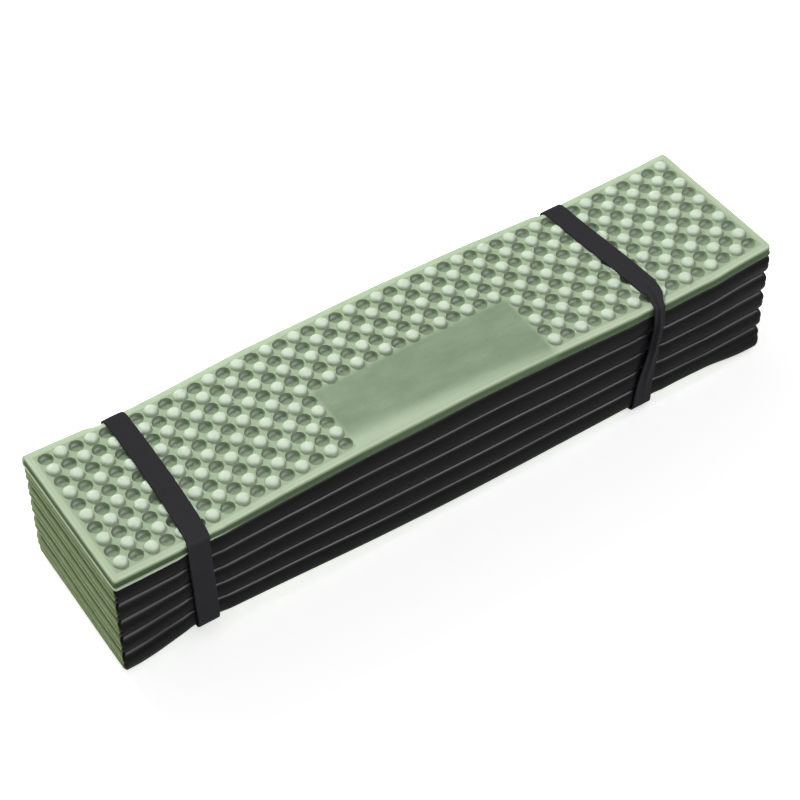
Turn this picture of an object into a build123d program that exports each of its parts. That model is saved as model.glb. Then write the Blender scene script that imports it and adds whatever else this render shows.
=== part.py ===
from build123d import *
import os

# Folding foam sleeping pad, stowed: one long two-layer foam sheet, creased into
# twelve equal panels and folded up like an accordion, with two elastic webbing
# loops round the stack.
#
# Frame: +X along the stack's length, +Y to the back, +Z up. The origin is at the
# centre of the stack's underside. All sizes in millimetres.

# ---- driving dimensions -------------------------------------------------------
LENGTH = 570.0          # along X: the width of the opened pad
DEPTH = 136.0           # along Y: one panel, from edge to edge
PANELS = 12             # panel 1 is on top, panel 12 lies on the ground
PITCH = 8.75            # height that one panel takes in the stack
GAP = 0.3               # clearance between two stacked panels
BLACK = 1.8             # thickness of the black backing layer
ROUND = 6.6             # rounding of a panel's edge beside a crease
FREE_ROUND = 3.0        # rounding of the stack's two outer front edges
END_ROUND = 5.0         # small rounding of the four upright corners of a panel

CREASE_OUT = 1.0        # the crease lies this far outside the panel edges
CREASE_R = 0.7          # radius of the thin foam web that is left at a crease
TAB = 0.4               # thickness of the web where it runs into its panel
CREASE_SHORT = 8.0      # the web stops this far short of the panel ends

STRAP_W = 17.5          # elastic webbing width
STRAP_T = 1.5           # elastic webbing thickness
STRAP_CLEAR = 0.3       # clearance between the loop and what it goes round
STRAP_R = 2.5           # bend of the loop at the corners of the stack
STRAP_X = {"left": -219.0, "right": 172.0}
STRAP_LIFT = 0.2        # the loop's lower run stays this far off the ground
GROOVE_SIDE = 0.75      # room beside the strap in the compressed underside
OVERLAP = 34.0          # length of the sewn overlap on the back run
TACK_L, TACK_W, TACK_H = 2.2, 13.0, 0.4   # a bar tack

HEIGHT = PANELS * PITCH
HALF_L, HALF_D = LENGTH / 2, DEPTH / 2

os.makedirs("parts", exist_ok=True)


def level(k):
    """Lower and upper face of panel k in the stack."""
    low = (PANELS - k) * PITCH + (0 if k == PANELS else GAP / 2)
    high = (PANELS + 1 - k) * PITCH - (0 if k == 1 else GAP / 2)
    return low, high


def profile(y0, y1, z0, z1, corners):
    """A rectangle in the YZ plane; corners maps ('f' or 'b', 'lo' or 'hi') to a radius."""
    sketch = Rectangle(y1 - y0, z1 - z0)
    sketch = Pos((y0 + y1) / 2, (z0 + z1) / 2) * sketch
    for (side, end), radius in corners.items():
        y, z = (y0 if side == "f" else y1), (z0 if end == "lo" else z1)
        corner = sorted(
            sketch.vertices(), key=lambda v: (v.X - y) ** 2 + (v.Y - z) ** 2
        )[0]
        sketch = fillet(corner, radius)
    return sketch


def along_x(sketch, length, x_mid=0.0):
    """The YZ sketch pushed out along X, centred on x_mid."""
    face = Plane(origin=(x_mid - length / 2, 0, 0), x_dir=(0, 1, 0), z_dir=(1, 0, 0)) * sketch
    return extrude(face, length)


def plan_blank(z0, z1):
    """The panel seen from above, with its upright corners slightly rounded."""
    plan = RectangleRounded(LENGTH, DEPTH, END_ROUND)
    return extrude(Pos(0, 0, z0) * plan, z1 - z0)


def panel(k):
    """(green layer, black layer) of panel k. Odd panels lie green side up."""
    z0, z1 = level(k)
    odd = k % 2 == 1
    black_end, green_end = ("lo", "hi") if odd else ("hi", "lo")
    free = k in (1, PANELS)              # these two have a free front edge
    corners = {("b", green_end): ROUND}  # back crease: full length on the black side
    if free:
        corners[("f", green_end)] = FREE_ROUND
    else:
        corners[("f", black_end)] = ROUND  # front crease: full length on the green side
    whole = along_x(profile(-HALF_D, HALF_D, z0, z1, corners), LENGTH)
    # The green layer starts one backing thickness in from the black outside.
    g0, g1 = (z0 + BLACK, z1 + 5) if odd else (z0 - 5, z1 - BLACK)
    front = -HALF_D - 5 if free else -HALF_D + BLACK
    inner_corners = {} if free else {("f", black_end): ROUND - BLACK}
    inner = along_x(profile(front, HALF_D + 5, g0, g1, inner_corners), LENGTH + 10)
    whole = whole & plan_blank(z0 - 1, z1 + 1)
    green, black = whole & inner, whole - inner
    if k == PANELS:                      # the straps press into the underside
        for x in STRAP_X.values():
            width = STRAP_W + 2 * GROOVE_SIDE
            deep = STRAP_LIFT + STRAP_T + STRAP_CLEAR
            green -= Pos(x, 0, deep / 2) * Box(width, DEPTH + 20, deep)
    return green, black


def crease_place(k):
    """(y, z) of the crease between panel k and panel k + 1."""
    side = 1 if k % 2 == 1 else -1
    return side * (HALF_D + CREASE_OUT), (PANELS - k) * PITCH


def crease(k):
    """The thin web between panel k and panel k + 1. It runs into panel k + 1, below."""
    y, z = crease_place(k)
    length = LENGTH - 2 * CREASE_SHORT
    side = 1 if y > 0 else -1
    rod = Pos(0, y, z) * (Rot(0, 90, 0) * Cylinder(CREASE_R, length))
    top = z - GAP / 2
    tab = Pos(0, side * (HALF_D + CREASE_OUT / 2), top - TAB / 2) * Box(
        length, CREASE_OUT, TAB
    )
    return rod + tab


def strap(x):
    """An elastic loop, with its two ends overlapped on the back run."""
    y_in = HALF_D + CREASE_OUT + CREASE_R + STRAP_CLEAR
    z_in0, z_in1 = STRAP_LIFT + STRAP_T, HEIGHT + STRAP_CLEAR
    outer = profile(
        -y_in - STRAP_T, y_in + STRAP_T, z_in0 - STRAP_T, z_in1 + STRAP_T,
        {(s, e): STRAP_R + STRAP_T for s in "fb" for e in ("lo", "hi")},
    )
    inner = profile(
        -y_in, y_in, z_in0, z_in1, {(s, e): STRAP_R for s in "fb" for e in ("lo", "hi")}
    )
    loop = along_x(outer - inner, STRAP_W, x)
    z_mid = HEIGHT / 2
    lap = Pos(x, y_in + STRAP_T + STRAP_T / 2, z_mid) * Box(STRAP_W, STRAP_T, OVERLAP)
    loop = loop + lap
    tacks = []
    for z in (z_mid - OVERLAP / 2 + 4, z_mid + OVERLAP / 2 - 4):
        tacks.append(
            Pos(x, y_in + 2 * STRAP_T + TACK_H / 2, z) * Box(TACK_W, TACK_H, TACK_L)
        )
    return loop, tacks


def solid_of(shape):
    """The one solid in shape, as a plain Solid."""
    found = shape.solids()
    assert len(found) == 1, len(found)
    return found[0]


made = {}
for k in range(1, PANELS + 1):
    green, black = panel(k)
    made[f"panel_{k:02d}_green_foam"] = solid_of(green)
    made[f"panel_{k:02d}_black_base"] = solid_of(black)
for k in range(1, PANELS):
    made[f"crease_{k:02d}_{k + 1:02d}"] = solid_of(crease(k))
for name, x in STRAP_X.items():
    loop, tacks = strap(x)
    made[f"{name}_strap"] = solid_of(loop)
    made[f"{name}_strap_stitching"] = Compound(children=[solid_of(t) for t in tacks])

for name, shape in made.items():
    export_step(shape, f"parts/{name}.step")
    box = shape.bounding_box()
    print(name, [round(v, 2) for v in (*box.min, *box.max)], round(shape.volume, 1))
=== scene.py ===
import math

import bpy
import numpy as np
from mathutils import Matrix, Vector


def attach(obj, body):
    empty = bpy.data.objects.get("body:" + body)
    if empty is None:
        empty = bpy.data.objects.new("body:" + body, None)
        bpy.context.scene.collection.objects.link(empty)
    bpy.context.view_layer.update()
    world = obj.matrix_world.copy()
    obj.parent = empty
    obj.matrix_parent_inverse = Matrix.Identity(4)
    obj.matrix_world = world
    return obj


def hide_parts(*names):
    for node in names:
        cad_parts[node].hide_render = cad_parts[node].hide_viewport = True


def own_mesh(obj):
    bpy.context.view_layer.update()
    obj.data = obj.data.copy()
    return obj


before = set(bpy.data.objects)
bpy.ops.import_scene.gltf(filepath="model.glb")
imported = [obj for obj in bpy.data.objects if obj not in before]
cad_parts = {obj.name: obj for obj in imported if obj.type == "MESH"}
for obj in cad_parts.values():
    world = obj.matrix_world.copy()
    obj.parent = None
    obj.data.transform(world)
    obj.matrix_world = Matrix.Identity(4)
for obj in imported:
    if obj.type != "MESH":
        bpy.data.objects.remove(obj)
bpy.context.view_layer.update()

# Folded egg-crate foam pad. Everything below is in millimetres until it is turned
# into a mesh. +X right, +Y back, +Z up, origin under the middle of the stack.
P = 12.1                     # egg-crate pitch
COLS, ROWS = 46, 10
HX, HY = COLS / 2 * P, ROWS / 2 * P
N_PANELS = 12
PITCH = 8.75
HEIGHT = N_PANELS * PITCH
TIP = 8.5                    # a crease lies this far outside the egg-crate
GAP = 0.15                   # half of the clearance between two panels
STRAP_W, STRAP_T = 17.5, 1.35
rng = np.random.default_rng(7)


def smooth(t):
    t = np.clip(t, 0.0, 1.0)
    return t * t * (3 - 2 * t)


def curve(points, sigma):
    """A smooth function through a table of (x in pitches, value)."""
    xs = np.linspace(-26, 26, 1041)
    ys = np.interp(xs, [p[0] for p in points], [p[1] for p in points])
    k = np.arange(-60, 61) * 0.05
    w = np.exp(-0.5 * (k / sigma) ** 2)
    ys = np.convolve(np.pad(ys, 60, mode="edge"), w / w.sum(), "valid")
    return lambda x: np.interp(np.asarray(x) / P, xs, ys)


# ---- how the stack bows and droops --------------------------------------------
TOP_FRONT = curve([(-23.6, -.24), (-21.5, -.27), (-19.2, -.33), (-18.2, -.37), (-17.1, -.25), (-14.5, -.10),
                   (-12.4, .06), (-8.5, .23), (-6.6, .29), (0.8, .37), (4, .33), (8.15, .18), (12.6, -.03),
                   (15.2, -.20), (18.4, -.18), (19.2, -.24), (20.0, -.08), (21.4, .06), (23.4, .20)], 0.42)
TOP_BACK = curve([(-23.6, .20), (-20.5, .06), (-18, -.10), (-16.5, -.08), (-14.5, -.03), (-11.5, .2), (-8.5, .36),
                  (-0.5, .41), (4, .35), (7.5, .24), (10.5, .02), (13.5, -.17), (14.5, -.22), (17, -.17),
                  (21.5, -.13), (23.6, 0.0)], 0.6)
RISE = curve([(-23.6, 0.6), (-22.5, 1.6), (-21.6, 4.2), (-20.4, 9.4), (-18.6, 14.0), (-17.1, 12.2), (-12.4, 8.2), (-6.5, 2.9),
              (-2.5, .6), (0.8, 0), (4, .3), (8.2, 1.5), (13.5, 3.4), (17, 2.9), (20, 1.0), (23, 0)], 0.6)
STRAP_AT = {"left": -18.0 * P, "right": 14.2 * P}


def back_share(y):
    return smooth((np.asarray(y) + 69) / 138)


def top(x, y):
    b = back_share(y)
    return HEIGHT + P * (TOP_FRONT(x) * (1 - b) + TOP_BACK(x) * b)


def strap_line_x(side, y):
    """Where the middle of a strap's lower run is."""
    if side == "left":
        return -18.1 * P + 0 * y
    return (13.6 + 0.75 * back_share(y)) * P


def top_line_x(side, y):
    """Where the middle of a strap's upper run is."""
    f = np.clip((69 - np.asarray(y)) / 138, 0, 1)
    if side == "left":
        return (-17.55 - 0.12 * f - 0.40 * f ** 3) * P
    return (14.45 + 0.62 * smooth(f / .85) - 0.45 * smooth((f - .88) / .12)) * P


def ground(x, y):
    """How far the underside is lifted off the ground."""
    b = back_share(y)
    g = RISE(x) * (0.85 * (1 - b) + 0.32 * b)
    for side in STRAP_AT:
        d = np.abs(x - strap_line_x(side, y))
        band = 1 - smooth((d - STRAP_W / 2 - 1.5) / 7.0)
        g = g + band * np.maximum(0, 2.3 - g)
    return g


FRONT_LEVELS = np.array([0, .0753, .1645, .2536, .3433, .433, .5227, .6124, .6987, .785, .868, .945, 1.0])
BACK_LEVELS = np.arange(13) / 12.0
UNDER = 2.65                 # the underside's margin is this far above its bump tips


def level(j, x, y):
    """Height of interface j, counted from the top: 0 is the pad's top, 12 its underside."""
    lo = ground(x, y)
    if j == 12:
        return lo + UNDER
    b = back_share(y)
    f = FRONT_LEVELS[j] * (1 - b) + BACK_LEVELS[j] * b
    z = lo + (top(x, y) - lo) * (1 - f)
    if 0 < j < 11:           # the folds lie a little unevenly
        z = z + 0.28 * np.sin(x / 61.0 + 1.7 * j) * np.sin(x / 23.0 + 0.9 * j)
    return z


def lean(x, y, z):
    """The stack's ends aren't quite upright."""
    d = np.clip((HEIGHT - z) / HEIGHT, 0, 1)
    left = smooth((-x - 120) / 160) * d * (-3.2 + 1.4 * back_share(y))
    right = smooth((x - 120) / 160) * d * 4.0
    return x + left - right


# ---- egg-crate relief -----------------------------------------------------------
BUMP_R = [.472, .445, .395, .30, .17, 0]
BUMP_Z = [0, .33, .66, .88, .975, 1]
WELL_Z = [0, .42, .84, .97, 1.0, 1]
RELIEF = [1.0] + [1.2] * 10 + [0.9, 0.75]     # how strong it is at each interface
BUMP_H, WELL_H = 3.2, 3.5


def cell(nseg, radii):
    """Points (in pitches) and faces of one cell. The first nseg points are its square border."""
    pts, faces = [], []
    for i in range(nseg):
        t = (i / nseg * 8.0) % 8.0
        side, u = int((t + 1) // 2) % 4, ((t + 1) % 2) - 1
        c = [(.5, u / 2), (-u / 2, .5), (-.5, -u / 2), (u / 2, -.5)][side]
        pts.append(c)
    for r in radii:
        for i in range(nseg):
            a = 2 * math.pi * i / nseg
            pts.append((r * math.cos(a), r * math.sin(a)))
    pts.append((0, 0))
    rings = len(radii) + 1
    for k in range(rings - 1):
        for i in range(nseg):
            j = (i + 1) % nseg
            a, b = k * nseg, (k + 1) * nseg
            faces.append((a + i, a + j, b + j, b + i))
    last = (rings - 1) * nseg
    for i in range(nseg):
        faces.append((last + i, last + (i + 1) % nseg, len(pts) - 1, -1))
    return np.array(pts), np.array(faces)


def lattice(nseg, radii):
    """The whole egg-crate in plan: points, radius in pitches, parity, cell centre, faces, border loop."""
    pts, faces = cell(nseg, radii)
    c, r = np.meshgrid(np.arange(COLS), np.arange(ROWS), indexing="ij")
    c, r = c.ravel(), r.ravel()
    cx, cy = (c - 22.5) * P, -(r - 4.5) * P
    n = len(pts)
    xy = np.empty((len(c), n, 2))
    xy[:, :, 0] = cx[:, None] + pts[None, :, 0] * P
    xy[:, :, 1] = cy[:, None] + pts[None, :, 1] * P
    rad = np.tile(np.hypot(pts[:, 0], pts[:, 1]), (len(c), 1))
    rad[:, :nseg] = 0.5
    par = np.repeat(((c + r) % 2)[:, None], n, 1)
    ccx = np.repeat(cx[:, None], n, 1)
    ccy = np.repeat(cy[:, None], n, 1)
    f = np.repeat(faces[None], len(c), 0) + (np.arange(len(c)) * n)[:, None, None]
    f = np.where(np.repeat(faces[None], len(c), 0) < 0, -1, f).reshape(-1, 4)
    xy, rad, par, ccx, ccy = xy.reshape(-1, 2), rad.ravel(), par.ravel(), ccx.ravel(), ccy.ravel()
    key = np.round(xy * 200).astype(np.int64)
    _, first, inverse = np.unique(key, axis=0, return_index=True, return_inverse=True)
    inverse = inverse.ravel()
    f = np.where(f < 0, -1, inverse[f])
    xy, rad, par, ccx, ccy = xy[first], rad[first], par[first], ccx[first], ccy[first]
    nb = nseg // 4
    look = {tuple(k): i for i, k in enumerate(np.round(xy * 200).astype(np.int64))}

    def at(x, y):
        return look[tuple(np.round(np.array([x, y]) * 200).astype(np.int64))]

    step = P / nb
    sides = [
        [at(-HX + i * step, -HY) for i in range(COLS * nb)],
        [at(HX, -HY + i * step) for i in range(ROWS * nb)],
        [at(HX - i * step, HY) for i in range(COLS * nb)],
        [at(-HX, HY - i * step) for i in range(ROWS * nb)],
    ]
    return {"xy": xy, "rad": rad, "par": par, "cx": ccx, "cy": ccy, "faces": f, "sides": sides}


def in_patch(lat):
    return (np.abs(lat["cx"]) < 7 * P) & (lat["cy"] < 0) & (lat["rad"] < 0.4999)


def patch_shade(x, y):
    """1 on the smooth patch, fading out at its sides and towards the front edge."""
    a = smooth((7 * P + 2.5 - np.abs(x)) / 5.0) * smooth((2.5 - y) / 5.0)
    return a * (1 - 0.9 * smooth((-y - 46 - 0.09 * x) / 20.0))


def relief(lat, amount, patch=False):
    """Height of the relief and its painted shading: a painted highlight on a bump (1 at its top) and painted shade in
    a well (-1 at its bottom).
    """
    r = np.array(BUMP_R[::-1])
    up = np.interp(lat["rad"], r, BUMP_Z[::-1])
    down = np.interp(lat["rad"], r, WELL_Z[::-1])
    z = np.where(lat["par"] == 1, up * BUMP_H, -down * WELL_H) * amount
    relief_shading = np.where(lat["par"] == 1, up, -down)
    if patch:
        flat = in_patch(lat)
        z, relief_shading = np.where(flat, 0, z), np.where(flat, 0, relief_shading)
        x, y = lat["xy"][:, 0], lat["xy"][:, 1]
        # The flats between the cells get painted shade (-0.20), except in a band along the front edge in front of the
        # patch.
        front_band = (np.abs(x) < 7 * P + 1) * smooth((-y - 44) / 14)
        relief_shading = np.where(np.abs(relief_shading) < 1e-6, -0.20 * (1 - front_band), relief_shading)
        for side in STRAP_AT:               # the straps press the bumps down
            d = np.abs(x - top_line_x(side, y))
            under = 1 - smooth((d - STRAP_W / 2 + 0.3) / 1.6)
            cap = 0.6
            z = np.where(z > cap, z - (z - cap) * under, z)
    return z, relief_shading


# ---- what the edges look like in section ------------------------------------------
# A section goes from the black face's egg-crate border (0, 0) to the green face's
# (0, 1): the distance outward in mm, and the share of the panel's thickness.
def super_arc(o0, o1, n, count, tip_at_end):
    out = []
    for i in range(count):
        a = math.pi / 2 * (i / (count - 1))
        if tip_at_end:
            a = math.pi / 2 - a
            out.append((o0 + (o1 - o0) * math.cos(a) ** (2 / n) if a < 1.5707 else o0, 1 - math.sin(a) ** (2 / n)))
        else:
            out.append((o0 + (o1 - o0) * math.cos(a) ** (2 / n) if a < 1.5707 else o0, math.sin(a) ** (2 / n)))
    return out


ARC = 12


def section_wrap(n=3.1, depth=6.0, tip=TIP):
    s = tip - depth
    return [(0, 0), (s * .4, 0), (s * .8, 0)] + super_arc(s, tip, n, ARC, True) + [(tip - 2.2, 1), (3, 1), (0, 1)]


def section_back(n=2.8, depth=6.0, tip=TIP):
    s = tip - depth
    return [(0, 0), (3, 0), (tip - 2.2, 0)] + super_arc(s, tip, n, ARC, False) + [(s * .8, 1), (s * .4, 1), (0, 1)]


def section_end():
    """The cut ends: every layer is a soft rounded edge, set back where two black faces meet."""
    return [(0, 0), (.7, 0), (1.3, 0), (1.9, .0), (2.9, .02), (4.0, .07), (5.1, .15), (6.0, .26), (6.6, .38),
            (7.0, .50), (7.2, .61), (7.25, .71), (7.1, .81), (6.7, .90), (6.0, .965), (4.8, 1), (2.5, 1), (0, 1)]


def section_lip(wall=6.9, out=2.2):
    w = wall
    return [(0, 0), (3, 0), (w - .8, 0), (w + .3, .0), (w + .6, .005), (w + .7, .02), (w + out - .35, .022),
            (w + out - .08, .035), (w + out, .075), (w + out - .2, .115), (w + .45, .135), (w + .12, .17),
            (w, .45), (w - .15, .92), (w - .45, .977), (w - 1.1, 1.0), (2.6, 1), (0, 1)]


def section_under():
    pts = [(0, 0), (1, 0), (2, 0), (2.8, 0), (3.3, .06), (3.5, .16), (3.6, .28), (3.7, .42), (3.75, .55),
           (3.7, .68), (3.6, .78), (3.4, .87), (3.1, .94), (2.7, .985), (2.3, 1.0), (1.6, 1), (.8, 1), (0, 1)]
    return pts


def section_last_end():
    pts = [(0, 0), (1, 0), (2.4, 0), (3.6, 0), (4.6, .05), (5.2, .14), (5.7, .26), (6.0, .4), (6.15, .55),
           (6.1, .68), (5.9, .79), (5.5, .88), (4.9, .95), (4.1, .99), (3.2, 1), (2, 1), (1, 1), (0, 1)]
    return pts


N_SEC = 3 + ARC + 3
for s in (section_wrap(), section_back(), section_end(), section_lip(), section_under(), section_last_end()):
    assert len(s) == N_SEC, len(s)
I_TIP = 2 + ARC              # index of a wrapped fold's tip


def border(lat):
    """Border loop of the egg-crate with its corners spread into arcs: vertex index, and for each entry the two
    sides it lies between, with its place between them."""
    idx, s0, s1, phi = [], [], [], []
    steps = [0, 8, 18, 30, 45, 60, 72, 82, 90]
    for s in range(4):
        side = lat["sides"][s]
        for a in steps:
            idx.append(side[0]); s0.append((s - 1) % 4); s1.append(s); phi.append(math.radians(a))
        for v in side[1:]:
            idx.append(v); s0.append(s); s1.append(s); phi.append(math.pi / 2)
    return np.array(idx), np.array(s0), np.array(s1), np.array(phi)


NORMAL = np.array([(0, -1), (1, 0), (0, 1), (-1, 0)], float)   # front, right, back, left
CORNER_M = [7.0, 4.0, 7.0, 7.0]                                # front-left, front-right, back-right, back-left


def press(x, y_side):
    """How far a strap presses the folds in."""
    out = 0 * x
    for side, at in (("left", -18.0 * P), ("right", 14.2 * P)):
        w = 9.0 if side == "left" else 6.5
        out = out + (1 - smooth((np.abs(x - at) - w) / 9.0))
    return out


def edge_rings(k, lat):
    """Section points of panel k for each border entry, as (entries, N_SEC) arrays of x, y, z."""
    odd = k % 2 == 1
    idx, s0, s1, phi = border(lat)
    bx, by = lat["xy"][idx, 0], lat["xy"][idx, 1]
    n_e = len(idx)
    near_end = smooth((np.abs(bx) - 225) / 50)
    front, back, end = section_wrap(), section_back(), section_end()
    if k == 1:
        front, end = section_lip(), section_lip(6.3, 1.3)
    if k == N_PANELS:
        front, end = section_under(), section_last_end()
    secs = [np.array(front), np.array(end), np.array(back), np.array(end)]
    O = np.zeros((4, n_e, N_SEC)); H = np.zeros((4, n_e, N_SEC))
    for s in range(4):
        O[s] = secs[s][:, 0][None]; H[s] = secs[s][:, 1][None]
    if k == 1:               # the lip stands out only towards the left end
        flat = np.array(section_lip(6.9, 0.75))
        at_left = 1 - smooth((bx + 250) / 60)
        O[0] = O[0] * at_left[:, None] + flat[:, 0][None] * (1 - at_left[:, None])
        O[1] = np.array(section_lip(6.3, 0.6))[:, 0][None]
    if 1 < k < N_PANELS:     # the folds are rounder towards the ends of the stack
        soft = np.array(section_wrap(n=2.25, depth=6.2))
        O[0] = O[0] * (1 - near_end[:, None]) + soft[:, 0][None] * near_end[:, None]
        H[0] = H[0] * (1 - near_end[:, None]) + soft[:, 1][None] * near_end[:, None]
        pair = k // 2
        wob = 0.35 * np.sin(bx / 47.0 + 2.1 * pair) + 0.25 * np.sin(bx / 19.0 + 1.3 * pair)
        O[0] *= (1 + (wob[:, None] - 0.3) * 0.03)
    pr = press(bx, 0)
    pressed = np.array(section_back(n=2.0, depth=8.0))
    O[2] = O[2] * (1 - pr[:, None]) + pressed[:, 0][None] * pr[:, None]
    H[2] = H[2] * (1 - pr[:, None]) + pressed[:, 1][None] * pr[:, None]
    shrink = {1: 0.9}.get(k, 1.1)
    O[0] *= (1 - pr[:, None] * shrink / TIP)
    O[2] *= (1 - pr[:, None] * 0.6 / TIP)
    m = np.array(CORNER_M)[s1]
    c = np.abs(np.cos(phi)) ** (2 / m)
    c = np.where(phi > 1.5707, 0.0, c)
    s = np.abs(np.sin(phi)) ** (2 / m)
    s = np.where(phi < 1e-6, 0.0, s)
    mix = smooth((np.degrees(phi) - 20) / 50)
    ar = np.arange(n_e)
    o0, o1 = O[s0, ar], O[s1, ar]
    h0, h1 = H[s0, ar], H[s1, ar]
    h = h0 * (1 - mix[:, None]) + h1 * mix[:, None]
    x = bx[:, None] + NORMAL[s0, 0][:, None] * o0 * c[:, None] + NORMAL[s1, 0][:, None] * o1 * s[:, None]
    y = by[:, None] + NORMAL[s0, 1][:, None] * o0 * c[:, None] + NORMAL[s1, 1][:, None] * o1 * s[:, None]
    # On plain stretches both weights count once.
    plain = s0 == s1
    x[plain] = bx[plain][:, None] + NORMAL[s1[plain], 0][:, None] * o1[plain]
    y[plain] = by[plain][:, None] + NORMAL[s1[plain], 1][:, None] * o1[plain]
    # Levels: the black face is below the green one on odd panels.
    jb, jg = (k, k - 1) if odd else (k - 1, k)
    sign = 1.0 if odd else -1.0
    crease_black, crease_green = 2, 0      # side where the black (green) faces are joined
    out_front = np.clip((-y - HY) / TIP, 0, 1)
    out_back = np.clip((y - HY) / TIP, 0, 1)
    g_green = 1 - smooth((out_front - .55) / .45) if k not in (1, N_PANELS) else np.ones_like(y)
    g_black = 1 - smooth((out_back - .55) / .45)
    zb = level(jb, x, y) + sign * GAP * g_black
    zg = level(jg, x, y) - sign * GAP * g_green * (0 if jg in (0, 12) else 1)
    if k == N_PANELS:                       # the underside's front margin droops to the ground
        zg = zg - 1.7 * smooth(out_front / .4)
    z = zb * (1 - h) + zg * h
    if k == N_PANELS - 1:                   # the lowest fold hangs over the recessed front edge below it
        hang = (3.0 + 3.6 * smooth((-x - 225) / 35) - 1.5 * smooth((x - 150) / 60)
                + 4.0 * smooth((x - 228) / 40))
        hang = np.minimum(hang, level(jb, x, y) - 0.7)
        y = y - 2.6 * smooth((x - 232) / 45) * smooth((out_front - .3) / .5) * (1 - h)
        z = z - hang * smooth((out_front - .47) / .3) * (1 - h) ** 1.3
    # How much of the section the black layer covers: all of a front fold, its own thickness elsewhere.
    thick = 1.2 if k == N_PANELS else 1.7
    depth = np.abs(z - z[:, :1])
    cover = np.zeros(n_e)
    for e in range(n_e):
        d = depth[e]
        j = int(np.argmax(d > thick))
        j = max(j, 3)
        t = (thick - d[j - 1]) / max(d[j] - d[j - 1], 1e-6)
        cover[e] = j - 1 + min(max(t, 0.0), 1.0)
    wrap = np.zeros(n_e)
    if k == 1:                              # the black layer ends under the lip, except on the fold at the back
        lip = np.where(plain, (s1 != 2) * 1.0, 0.0)
        deg = np.degrees(phi)
        lip[~plain & (s1 <= 1)] = 1.0
        at = ~plain & (s1 == 2)
        lip[at] = 1 - smooth((deg[at] - 40) / 40)
        at = ~plain & (s1 == 3)
        lip[at] = smooth((deg[at] - 10) / 40)
        cover = cover * (1 - lip) + 2.3 * lip
    if 1 < k < N_PANELS:
        deg = np.degrees(phi)
        wrap[plain & (s1 == 0)] = 1
        at = (~plain) & (s1 == 0)           # front-left corner: from the left end to the front
        wrap[at] = smooth((deg[at] - 8) / 30)
        at = (~plain) & (s1 == 1)           # front-right corner: from the front to the right end
        wrap[at] = 1 - smooth((deg[at] - 52) / 30)
        cover = cover * (1 - wrap) + I_TIP * wrap
    return idx, x, y, z, cover, wrap, thick, sign, phi, plain, s0, s1


def at_index(a, t):
    """Values of a (entries, N_SEC) at fractional indices t (entries, m)."""
    i = np.clip(np.floor(t).astype(int), 0, a.shape[1] - 2)
    f = t - i
    r = np.arange(a.shape[0])[:, None]
    return a[r, i] * (1 - f) + a[r, i + 1] * f


def make_mesh(name, verts, faces, attributes, sharp=None, crisp=None):
    me = bpy.data.meshes.new(name)
    verts = np.asarray(verts, np.float64) * 0.001
    quads = faces[faces[:, 3] >= 0]
    tris = faces[faces[:, 3] < 0][:, :3]
    loops = np.concatenate([quads.ravel(), tris.ravel()]).astype(np.int32)
    n_poly = len(quads) + len(tris)
    starts = np.concatenate([np.arange(len(quads)) * 4, len(quads) * 4 + np.arange(len(tris)) * 3]).astype(np.int32)
    me.vertices.add(len(verts))
    me.vertices.foreach_set("co", verts.astype(np.float32).ravel())
    me.loops.add(len(loops))
    me.loops.foreach_set("vertex_index", loops)
    me.polygons.add(n_poly)
    me.polygons.foreach_set("loop_start", starts)
    me.update(calc_edges=True)
    me.validate()
    me.polygons.foreach_set("use_smooth", np.ones(len(me.polygons), bool))
    for key, values in attributes.items():
        a = me.attributes.new(key, "FLOAT", "POINT")
        a.data.foreach_set("value", np.asarray(values, np.float32))
    if sharp:
        me.set_sharp_from_angle(angle=math.radians(sharp))
    if crisp:                # one ring of edges where the surface turns back on itself
        pairs = np.zeros(len(me.edges) * 2, np.int32)
        me.edges.foreach_get("vertices", pairs)
        pairs = pairs.reshape(-1, 2)
        ring = ((pairs >= crisp[0]) & (pairs < crisp[1])).all(1)
        mark = me.attributes.get("sharp_edge") or me.attributes.new("sharp_edge", "BOOLEAN", "EDGE")
        old = np.zeros(len(me.edges), bool)
        mark.data.foreach_get("value", old)
        mark.data.foreach_set("value", old | ring)
    ob = bpy.data.objects.new(name, me)
    bpy.context.scene.collection.objects.link(ob)
    return ob


def outward(verts, faces):
    """Faces turned so that the closed mesh has a positive volume."""
    v = verts - verts.mean(0)
    q = faces.copy()
    tri = [q[:, [0, 1, 2]]]
    m = q[:, 3] >= 0
    tri.append(q[m][:, [0, 2, 3]])
    tri = np.concatenate(tri)
    vol = np.einsum("ij,ij->i", v[tri[:, 0]], np.cross(v[tri[:, 1]], v[tri[:, 2]])).sum()
    if vol < 0:
        out = q.copy()
        out[m] = q[m][:, ::-1]
        out[~m, :3] = q[~m][:, [2, 1, 0]]
        return out
    return q


def stitch(ring_a, ring_b):
    """Quads between two closed rings of vertex indices; doubled corner vertices make triangles."""
    a0, a1 = ring_a, np.roll(ring_a, -1)
    b0, b1 = ring_b, np.roll(ring_b, -1)
    q = np.stack([a0, a1, b1, b0], 1)
    keep = ~((a0 == a1) & (b0 == b1))
    q = q[keep]
    same_a = q[:, 0] == q[:, 1]
    same_b = q[:, 2] == q[:, 3]
    tri_a = np.column_stack([q[same_a][:, [1, 2, 3]], -np.ones(same_a.sum(), int)])
    tri_b = np.column_stack([q[same_b][:, [0, 1, 2]], -np.ones(same_b.sum(), int)])
    return np.concatenate([q[~same_a & ~same_b], tri_a, tri_b]).astype(np.int64)


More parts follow.
